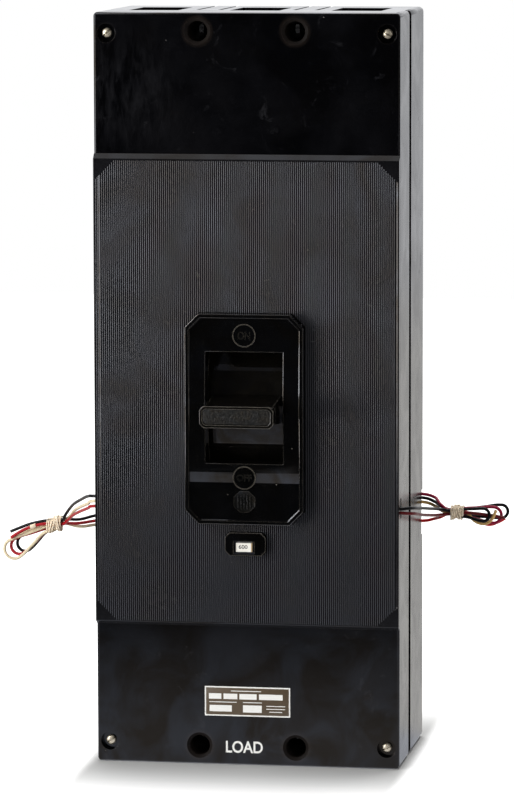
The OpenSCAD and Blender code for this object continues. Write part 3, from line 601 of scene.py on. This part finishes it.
def steepenBand(bm, band):  # a steeper strip at the foot of the bowed field
    bmesh.ops.bisect_plane(bm, geom=wholeOf(bm), dist=1e-7, plane_co=(0, 0, band["top"] * mm), plane_no=(0, 0, 1))
    spareX, spareZ, spareR = band["spare"]
    for v in bm.verts:
        x, y, z = v.co / mm
        onField = band["nearest"] < y < band["farthest"] and abs(x) < band["halfWidth"] and abs(z - band["top"]) < 0.01
        if onField and math.hypot(x - spareX, z - spareZ) > spareR:
            v.co.y -= band["forward"] * mm


def squarePlate(bm, look, square):  # upright sides, and an upper bevel that stands clear of the reeds
    for v in bm.verts:
        forward = v.co.y < square["front"] * mm
        if forward and abs(v.co.x) > look["within"] * mm:
            v.co.x = math.copysign(square["halfWidth"] * mm, v.co.x)
        if v.co.z > look["highFrom"] * mm:
            v.co.z += (square["frontUp"] if forward else square["outerUp"]) * mm
        for low, high, shift in square["widen"]:  # the outermost groove takes two more reeds
            if low < abs(v.co.x / mm) < high and v.co.y < square["grooveFront"] * mm:
                v.co.x += math.copysign(shift * mm, v.co.x)
                v.co.z -= math.copysign(shift * mm, v.co.z - square["midZ"] * mm)
                break


def roundedMoulding(name, look):
    bm = bmesh.new()
    bm.from_mesh(nodes[name].data)
    bmesh.ops.remove_doubles(bm, verts=bm.verts, dist=1e-6)
    bmesh.ops.dissolve_limit(bm, angle_limit=math.radians(0.4), verts=bm.verts, edges=bm.edges)
    if "flat" in look:
        flattenShield(bm, look["flat"])
    if "band" in look:
        steepenBand(bm, look["band"])
    if "square" in look:
        squarePlate(bm, look, look["square"])
    coarse, fine = [], []
    for e in bm.edges:
        middle = (e.verts[0].co + e.verts[1].co) / 2 / mm
        turn = math.degrees(e.calc_face_angle(0.0)) if len(e.link_faces) == 2 else 0.0
        if turn < creaseLook["rounded"] or middle.y > look["frontOf"]:
            continue
        if "within" in look and abs(middle.x) < look["within"] and look["lowFrom"] < middle.z < look["highFrom"]:
            continue
        near = any(math.hypot(middle.x - x, middle.z - z) < r for x, z, r in look.get("fineSpots", []))
        (fine if near else coarse).append(e)
    if fine:
        roundEdges(bm, fine, look["fine"], segments=1)
        coarse = [e for e in coarse if e.is_valid]
    roundEdges(bm, coarse, look["width"], segments=3)
    for e in bm.edges:  # keep the crease where the bowed band meets the flat floor
        turn = math.degrees(e.calc_face_angle(0.0)) if len(e.link_faces) == 2 else 0.0
        e.smooth = not (turn > creaseLook["sharp"] or creaseLook["faintFrom"] < turn < creaseLook["faintTo"])
    obj = finishPiece(look["piece"], bm, phenolic[look["finish"]], body=look["body"], replaces=(name,),
                      sharp=None)
    even = obj.modifiers.new("even_normals", "WEIGHTED_NORMAL")
    even.keep_sharp = True
    return obj


for name, look in mouldingLook.items():
    piece = roundedMoulding(name, look)
    print(look["piece"], len(piece.data.polygons), "faces")


# Cover screws: domed slotted heads in their wells

screwLook = {"across": 95.9, "low": 14.2, "high": 500.15, "seat": -54.825, "crown": -58.225, "headR": 3.3, "shankR": 2.4,
             "shankEnd": -40.0, "slot": 1.15, "slotDeep": 1.3, "rim": 1.5,
             "dome": [(0.0, 0.0), (0.3, 0.04), (0.55, 0.16), (0.77, 0.4), (0.92, 0.8)],  # share of the radius, drop in mm
             "turns": {"line_screw_left": 45, "line_screw_right": -30, "load_screw_left": 35, "load_screw_right": 25}}


def makeScrew(name, look):
    x = look["across"] * (-1 if name.endswith("left") else 1)
    z = look["high"] if name.startswith("line") else look["low"]
    r, crown, seat = look["headR"], look["crown"], look["seat"]
    outline = [(share * r, crown + drop) for share, drop in look["dome"]]
    outline += [(r, crown + look["rim"]), (r, seat), (look["shankR"], seat), (look["shankR"], look["shankEnd"]),
                (0.0, look["shankEnd"])]
    middle = Vector((x, 0, z)) * mm
    bm = bmesh.new()
    verts = [bm.verts.new(Vector((x + a, y, z)) * mm) for a, y in outline]
    edges = [bm.edges.new(pair) for pair in zip(verts, verts[1:])]
    bmesh.ops.spin(bm, geom=verts + edges, cent=middle, axis=(0, 1, 0), angle=2 * math.pi, steps=32, use_merge=True)
    mergeShape(bm)
    turn = math.radians(look["turns"][name])
    across = Vector((-math.sin(turn), 0.0, math.cos(turn)))
    for sign in (-1, 1):
        bmesh.ops.bisect_plane(bm, geom=wholeOf(bm), dist=1e-8, plane_no=across,
                               plane_co=middle + across * (sign * look["slot"] / 2 * mm))
    sunk = [f for f in bm.faces if abs((f.calc_center_median() - middle).dot(across)) < look["slot"] / 2 * mm
            and f.calc_center_median().y < (crown + look["rim"]) * mm]
    drawn = bmesh.ops.extrude_face_region(bm, geom=sunk)
    bmesh.ops.delete(bm, geom=[f for f in sunk if f.is_valid], context="FACES")
    bmesh.ops.translate(bm, vec=(0, look["slotDeep"] * mm, 0), verts=vertsIn(drawn))
    bmesh.ops.recalc_face_normals(bm, faces=bm.faces)
    return finishPiece(name + "_domed", bm, screwNickel, replaces=(name,), sharp=40.0)


for name in screwLook["turns"]:
    makeScrew(name, screwLook)
print("screws made")


# Reeds of the front plate: round ribs over the plate's own lands

reedLook = {"pitch": 1.4, "grooves": 149, "halfWidth": 0.54, "depth": 0.56, "proud": 0.05, "root": 0.72, "arcSteps": 8,
            "rootShare": 0.3, "shortest": 0.5, "plateFront": -64.025, "midZ": 256.7, "lastRight": 102.0,
            "fieldHalfW": 103.6, "fieldHalfH": 157.7, "corner": 13.325, "gap": 0.15,
            "escutcheon": {"midZ": 239.8, "halfW": 40.65, "halfH": 71.8, "corner": 9.2},
            "bezel": {"midZ": 154.0, "halfW": 14.15, "halfH": 8.0, "corner": 3.2}}


def octagonReach(x, halfW, halfH, corner):  # half height of a corner-cut rectangle at x
    if abs(x) >= halfW:
        return None
    return halfH - max(0.0, abs(x) - (halfW - corner))


def reedRuns(x, look):  # the stretches of one reed between the openings
    reach = octagonReach(x, look["fieldHalfW"], look["fieldHalfH"], look["corner"])
    low, high = look["midZ"] - reach + look["gap"], look["midZ"] + reach - look["gap"]
    stops = [low]
    for hole in (look["bezel"], look["escutcheon"]):
        half = octagonReach(x, hole["halfW"] + look["halfWidth"], hole["halfH"], hole["corner"])
        if half is not None:
            stops += [hole["midZ"] - half - look["gap"], hole["midZ"] + half + look["gap"]]
    stops.append(high)
    return [(a, b) for a, b in zip(stops[::2], stops[1::2]) if b - a > look["shortest"]]


def makeReeds(look):
    bm = bmesh.new()
    crest = look["plateFront"] - look["proud"]
    half, root = look["halfWidth"], look["halfWidth"] * look["rootShare"]
    for i in range(look["grooves"] - 1):
        x = (i - (look["grooves"] - 2) / 2) * look["pitch"]
        if x > look["lastRight"]:
            continue
        for low, high in reedRuns(x, look):
            outline = []
            for step in range(look["arcSteps"] + 1):
                angle = math.pi * step / look["arcSteps"]
                outline.append((x - half * math.cos(angle), crest + look["depth"] * (1 - math.sin(angle))))
            outline += [(x + root, crest + look["root"]), (x - root, crest + look["root"])]
            face = bm.faces.new([bm.verts.new((px * mm, py * mm, low * mm)) for px, py in outline])
            drawn = bmesh.ops.extrude_face_region(bm, geom=[face])
            bmesh.ops.translate(bm, vec=(0, 0, (high - low) * mm), verts=vertsIn(drawn))
    mergeShape(bm)
    return finishPiece("front_reeds", bm, phenolic["reeds"], sharp=50.0)


reeds = makeReeds(reedLook)
print("reeds:", len(reeds.data.polygons), "faces")


# Lettering: generic words and a rating number only

def wornPaint(name, paint, worn):
    # Enamel or ink laid on a face: opaque, chipped and greyed a little
    finish, tree, shader, place = newFinish(name)
    lost = ramp(tree, noise(tree, place, 0.8, 4.0, Roughness=0.7), 0.6, 0.75, 0.0, 0.6)
    setInputs(tree, shader, {"Base Color": blendColour(tree, lost, paint, worn), "Roughness": 0.45})
    return finish


letterPaint = wornPaint("white_enamel_fill", "#f4f3ee", "#b9b5ab")
printInk = wornPaint("black_printing_ink", "#1d1e21", "#4a494d")

letterLook = {
    "load_letters": {"text": "LOAD", "width": 25.6, "height": 8.3, "middle": (-2.3, 12.35), "face": -60.325, "proud": 0.12,
                     "finish": letterPaint, "weight": 0.02},
    "on_letters": {"text": "ON", "width": 8.6, "height": 5.2, "middle": (0.0, 297.0), "face": -71.125, "proud": 0.5,
                   "finish": phenolic["letters"], "weight": 0.008},
    "off_letters": {"text": "OFF", "width": 10.2, "height": 4.6, "middle": (0.0, 200.0), "face": -71.125, "proud": 0.5,
                    "finish": phenolic["letters"], "weight": 0.008},
    "card_number": {"text": "600", "width": 6.1, "height": 2.7, "middle": (-1.7, 152.0), "face": -66.825, "proud": 0.03,
                    "finish": printInk, "weight": 0.015},
}


def makeLetters(name, look):
    words = bpy.data.curves.new(name, "FONT")
    words.body = look["text"]
    words.extrude = 0.02
    words.offset = look["weight"]
    bm = shapeOf(words)
    low = Vector([min(v.co[i] for v in bm.verts) for i in range(3)])
    high = Vector([max(v.co[i] for v in bm.verts) for i in range(3)])
    sink = 0.1  # mm below the face it stands on
    for v in bm.verts:  # lies in X and Y as text, then stands in X and Z
        across = ((v.co.x - low.x) / (high.x - low.x) - 0.5) * look["width"]
        along = ((v.co.y - low.y) / (high.y - low.y) - 0.5) * look["height"]
        front = (v.co.z - low.z) / (high.z - low.z) * (look["proud"] + sink) - sink
        v.co = Vector((look["middle"][0] + across, look["face"] - front, look["middle"][1] + along)) * mm
    mergeShape(bm)
    return finishPiece(name, bm, look["finish"], sharp=30.0)


for name, look in letterLook.items():
    makeLetters(name, look)
print("lettering:", len(letterLook))


# Rating plate on the lower end block: blank fields in a ruled border

plateLook = {"midX": 0.0, "midZ": 44.05, "width": 59.2, "height": 20.5, "thick": 0.5, "border": 0.9, "face": -60.325,
             "sunk": 0.05, "round": 0.12, "marksRise": 0.06, "ruleHalf": 0.25, "field": "#5f4f3a", "deep": "#4a3d2d",
             "boxes": [(-22.4, 3.4, 8.6, 3.8), (-11.8, 3.4, 9.6, 3.8), (0.4, 3.4, 12.0, 3.8), (16.2, 3.4, 16.4, 3.8),
                       (-18.6, -5.0, 15.4, 4.4), (3.4, -5.0, 13.0, 5.0)],
             "rules": [(-1.0, 7.2, 21.0), (-17.0, -0.6, 19.0), (3.5, -0.6, 13.0), (19.6, -2.8, 13.0), (19.6, -4.8, 13.0),
                       (19.6, -6.8, 9.0)]}


def etchedPlate(look):
    # Etched and filled aluminium plate: brown enamel ground with a fine metal grain, dull satin
    finish, tree, shader, place = newFinish("brown_enamelled_aluminium")
    grain = noise(tree, place, 1.4, 5.0, Roughness=0.65)
    setInputs(tree, shader, {"Base Color": blendColour(tree, grain, look["deep"], look["field"]),
                             "Roughness": ramp(tree, grain, 0.0, 1.0, 0.34, 0.5)})
    return finish


def makePlate(look):
    front = look["face"] - look["thick"]
    halfW, halfH = look["width"] / 2, look["height"] / 2

    def corners(x0, z0, x1, z1, near, far):
        return (look["midX"] + x0, near, look["midZ"] + z0), (look["midX"] + x1, far, look["midZ"] + z1)

    ground = bmesh.new()
    verts = addSlab(ground, *corners(-halfW, -halfH, halfW, halfH, front, look["face"] + look["sunk"]))
    roundEdges(ground, edgesOf(verts), look["round"])
    mergeShape(ground)
    finishPiece("rating_plate", ground, etchedPlate(look))
    marks = bmesh.new()
    b = look["border"]
    bars = [(-halfW, -halfH, halfW, -halfH + b), (-halfW, halfH - b, halfW, halfH),
            (-halfW, -halfH + b, -halfW + b, halfH - b), (halfW - b, -halfH + b, halfW, halfH - b)]
    fields = [(x - w / 2, z - h / 2, x + w / 2, z + h / 2) for x, z, w, h in look["boxes"]]
    lines = [(x - w / 2, z - look["ruleHalf"], x + w / 2, z + look["ruleHalf"]) for x, z, w in look["rules"]]
    for box in bars + fields + lines:
        addSlab(marks, *corners(*box, front - look["marksRise"], front + look["sunk"]))
    bmesh.ops.recalc_face_normals(marks, faces=marks.faces)
    finishPiece("rating_plate_marks", marks, letterPaint)


makePlate(plateLook)
print("rating plate made")


# Grained panel in the handle's grip

panelLook = {"midZ": 245.1, "width": 44.9, "height": 9.4, "corner": 1.5, "floor": -102.425, "cell": 0.55,
             "rise": 0.3, "sunk": 0.1, "grain": 0.22, "seed": 11}


def makeGripPanel(look):
    chance = random.Random(look["seed"])
    bm = bmesh.new()
    across, along = round(look["width"] / look["cell"]), round(look["height"] / look["cell"])
    bmesh.ops.create_grid(bm, x_segments=across, y_segments=along, size=0.5)
    for v in bm.verts:
        v.co = Vector((v.co.x * look["width"], look["floor"] - look["rise"], look["midZ"] + v.co.y * look["height"])) * mm
    for sx in (-1, 1):
        for sz in (-1, 1):  # the cut corners
            point = Vector((sx * (look["width"] / 2 - look["corner"]), 0, look["midZ"] + sz * look["height"] / 2)) * mm
            bmesh.ops.bisect_plane(bm, geom=wholeOf(bm), dist=1e-8, plane_co=point, plane_no=(sx, 0, sz), clear_outer=True)
    for v in bm.verts:
        if not v.is_boundary:
            v.co.y -= chance.uniform(0.0, look["grain"]) * mm
    rim = [e for e in bm.edges if e.is_boundary]
    drawn = bmesh.ops.extrude_edge_only(bm, edges=rim)
    for v in vertsIn(drawn):
        v.co.y = (look["floor"] + look["sunk"]) * mm
    bmesh.ops.contextual_create(bm, geom=[e for e in bm.edges if e.is_boundary])
    mergeShape(bm)
    return finishPiece("grip_panel", bm, phenolic["grain"], body="handle", sharp=70.0)


makeGripPanel(panelLook)
print("grip panel made")


# Plain ribbed boss below the OFF medallion

bossLook = {"midX": 0.0, "midZ": 183.6, "size": 14.6, "corner": 4.2, "floor": -69.825, "rise": 1.1, "rim": 1.0, "dish": 0.2,
            "sunk": 0.1, "ribs": 5, "ribPitch": 2.1, "ribW": 0.9, "ribRise": 0.45, "ribShort": 1.2, "ribRound": 0.2}


def makeBoss(look):
    bm = bmesh.new()
    half, c = look["size"] / 2, look["corner"]
    ring = [(-half + c, -half), (half - c, -half), (half, -half + c), (half, half - c), (half - c, half), (-half + c, half),
            (-half, half - c), (-half, -half + c)]
    face = bm.faces.new([bm.verts.new(Vector((look["midX"] + x, look["floor"] + look["sunk"], look["midZ"] + z)) * mm)
                         for x, z in ring])
    drawn = bmesh.ops.extrude_face_region(bm, geom=[face])
    top = [g for g in drawn["geom"] if isinstance(g, bmesh.types.BMFace)]
    bmesh.ops.translate(bm, vec=(0, -(look["rise"] + look["sunk"]) * mm, 0), verts=top[0].verts[:])
    bmesh.ops.inset_region(bm, faces=top, thickness=look["rim"] * mm, depth=0.0)
    bmesh.ops.translate(bm, vec=(0, look["dish"] * mm, 0), verts=top[0].verts[:])
    dishY = look["floor"] - look["rise"] + look["dish"]
    for i in range(look["ribs"]):
        x = look["midX"] + (i - (look["ribs"] - 1) / 2) * look["ribPitch"]
        tall = half - look["rim"] - look["ribShort"] * (2 if i in (0, look["ribs"] - 1) else 1)  # outer ribs are shorter
        verts = addSlab(bm, (x - look["ribW"] / 2, dishY - look["ribRise"], look["midZ"] - tall),
                        (x + look["ribW"] / 2, dishY + look["sunk"], look["midZ"] + tall))
        roundEdges(bm, edgesOf(verts), look["ribRound"])
    bmesh.ops.recalc_face_normals(bm, faces=bm.faces)
    return finishPiece("ribbed_boss", bm, phenolic["letters"], sharp=15.0)


makeBoss(bossLook)
print("boss made")


# Stage: a pale floor and white surroundings; in reflections the room is bright behind and dark in front and at the sides

stageLook = {"floorColour": "#cdcdcc", "floorFront": -2.4, "floorBack": 3.2, "floorHalf": 4.0, "floorDrop": 0.2,
             "footHalf": (0.104, 0.059), "shadowReach": (0.014, 0.166), "mirrorDark": "#17181a", "mirrorNear": "#e2e5ee",
             "mirrorFar": "#efedea", "nearFrom": 0.17, "nearTo": 0.74, "behindFrom": 0.35, "behindTo": 0.7,
             "roomFill": 0.22, "roomBright": "#f1f2f5", "roomDark": "#1b1c1f"}


def behindShare(tree, way, look):  # 0 in front and at the sides, 1 behind
    return ramp(tree, axisOf(tree, way, "Y"), look["behindFrom"], look["behindTo"], interpolation_type="SMOOTHSTEP")


def mirrorRay(tree, path):
    return reckon(tree, "MAXIMUM", path.outputs["Is Glossy Ray"], path.outputs["Is Transmission Ray"])


def makeFloor(look):
    finish, tree, shader, place = newFinish("pale_floor")
    base = hexColour(look["floorColour"])
    path = addNode(tree, "LightPath")
    outside = reckonVector(tree, "SUBTRACT", reckonVector(tree, "ABSOLUTE", place), (*look["footHalf"], 0.0))
    beyond = reckonVector(tree, "MAXIMUM", outside, (0, 0, 0))
    away = reckonVector(tree, "LENGTH", reckonVector(tree, "DIVIDE", beyond, (*look["shadowReach"], 1.0)), out="Value")
    far = ramp(tree, away, 0.0, 1.0, interpolation_type="SMOOTHSTEP")
    glow = reckon(tree, "MULTIPLY", path.outputs["Is Camera Ray"], far)  # white to the camera away from the shadow
    setInputs(tree, shader, {"Base Color": blendColour(tree, noise(tree, place, 60.0, 3.0), darker(base, 0.98), base),
                             "Roughness": 0.9, "Specular IOR Level": 0.1, "Emission Color": (1, 1, 1, 1),
                             "Emission Strength": glow})
    near = ramp(tree, reckonVector(tree, "LENGTH", place, out="Value"), look["nearFrom"], look["nearTo"], 1.0, 0.0)
    front = blendColour(tree, near, look["mirrorDark"], look["mirrorNear"])
    behind = behindShare(tree, reckonVector(tree, "NORMALIZE", place), look)
    mirror = addNode(tree, "Emission", {"Color": blendColour(tree, behind, front, look["mirrorFar"]), "Strength": 1.0})
    both = addNode(tree, "MixShader", {0: mirrorRay(tree, path), 1: shader.outputs["BSDF"], 2: mirror.outputs["Emission"]})
    tree.links.new(both.outputs["Shader"], tree.nodes["Material Output"].inputs["Surface"])
    bm = bmesh.new()
    bmesh.ops.create_grid(bm, x_segments=1, y_segments=1, size=0.5)
    wide, deep = 2 * look["floorHalf"], look["floorBack"] - look["floorFront"]
    midY = (look["floorBack"] + look["floorFront"]) / 2
    for v in bm.verts:
        v.co = Vector((v.co.x * wide, v.co.y * deep + midY, -look["floorDrop"] * mm))
    mesh = bpy.data.meshes.new("floor")
    bm.to_mesh(mesh)
    bm.free()
    floor = bpy.data.objects.new("floor", mesh)
    bpy.context.collection.objects.link(floor)
    dress(floor, finish)


def makeRoom(look):
    world = bpy.data.worlds.new("studio")
    bpy.context.scene.world = world
    world.use_nodes = True
    tree = world.node_tree
    way = addNode(tree, "TexCoord").outputs["Generated"]
    mirrored = blendColour(tree, behindShare(tree, way, look), look["roomDark"], look["roomBright"])
    path = addNode(tree, "LightPath")
    fill = (look["roomFill"],) * 3 + (1.0,)
    lit = blendColour(tree, mirrorRay(tree, path), fill, mirrored)
    setInputs(tree, tree.nodes["Background"], {"Color": blendColour(tree, path.outputs["Is Camera Ray"], lit, (1, 1, 1, 1))})


lampLook = {
    "left": {"place": (-1.0, -0.9, 0.56), "size": (0.85, 1.1), "power": 18.5},
    "right": {"place": (1.2, -0.95, 0.58), "size": (0.5, 1.1), "power": 1.2},
    "fill": {"place": (1.2, -1.3, 0.7), "size": (0.8, 0.8), "power": 5.0, "mirrored": False},
    "strip": {"place": (0.0, -0.4, 2.45), "size": (1.8, 0.6), "power": 4.0},
    "over": {"place": (0.1, 0.9, 2.5), "size": (1.6, 1.6), "power": 50.0},
}


def makeLamps(lamps):
    aim = Vector((0.0, 0.0, 0.3))
    for name, look in lamps.items():
        data = bpy.data.lights.new(name + "_softbox", "AREA")
        data.shape = "RECTANGLE"
        data.size, data.size_y = look["size"]
        data.energy = look["power"]
        lamp = bpy.data.objects.new(name + "_softbox", data)
        lamp.visible_glossy = look.get("mirrored", True)
        place = Vector(look["place"])
        lamp.matrix_world = Matrix.Translation(place) @ (aim - place).to_track_quat("-Z", "Y").to_matrix().to_4x4()
        bpy.context.collection.objects.link(lamp)


makeFloor(stageLook)
makeRoom(stageLook)
makeLamps(lampLook)
print("stage lit")
